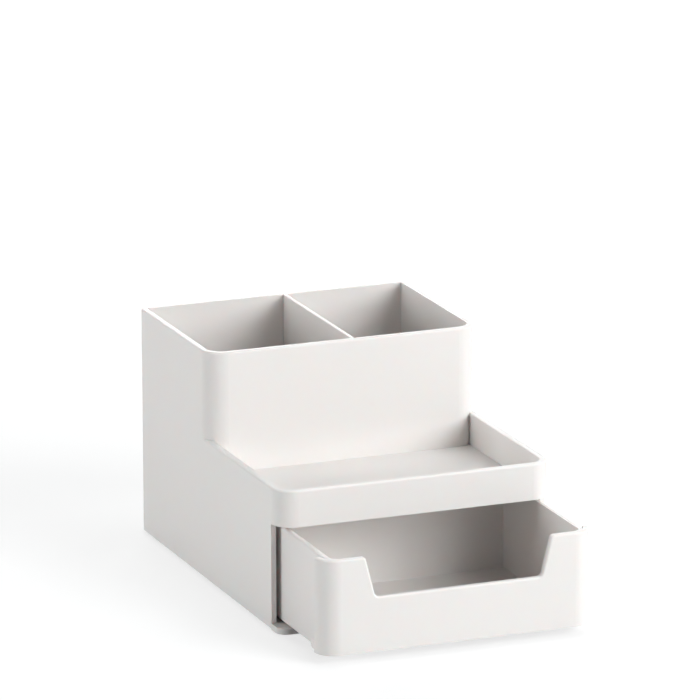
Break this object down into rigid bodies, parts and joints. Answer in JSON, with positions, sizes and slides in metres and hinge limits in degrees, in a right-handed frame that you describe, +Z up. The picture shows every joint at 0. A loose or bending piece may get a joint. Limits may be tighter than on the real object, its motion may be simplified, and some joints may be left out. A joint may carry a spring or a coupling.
{
  "type": "desk organizer with drawer",
  "caption": "Moulded desk organizer: an open-topped pen box with two compartments behind a shallow tray, and a short drawer with a finger notch sliding under the tray.",
  "frame": {"origin": "on the desk, midway across the housing, and midway between the housing's back and the front of the drawer when it is pulled out as in the rest pose", "axes": "+Z up, +Y from the drawer's front towards the pen box, +X to the right seen from the front"},
  "size_m": [0.1128, 0.1932, 0.0924],
  "materials": {
    "moulded_plastic": "warm white moulded plastic with a fine satin surface",
    "pad_rubber": "soft grey non-slip rubber"
  },
  "bodies": {
    "organizer": {"housing": "moulded_plastic", "base_plate": "moulded_plastic", "divider": "moulded_plastic", "pad_front_left": "pad_rubber", "pad_rear_left": "pad_rubber", "pad_front_right": "pad_rubber", "pad_rear_right": "pad_rubber"},
    "drawer": {"drawer": "moulded_plastic"}
  },
  "joints": [
    {"name": "drawer_slide", "type": "slide", "parent": "organizer", "child": "drawer", "axis": [0, -1, 0], "range_m": [-0.0418, 0.0182]}
  ]
}
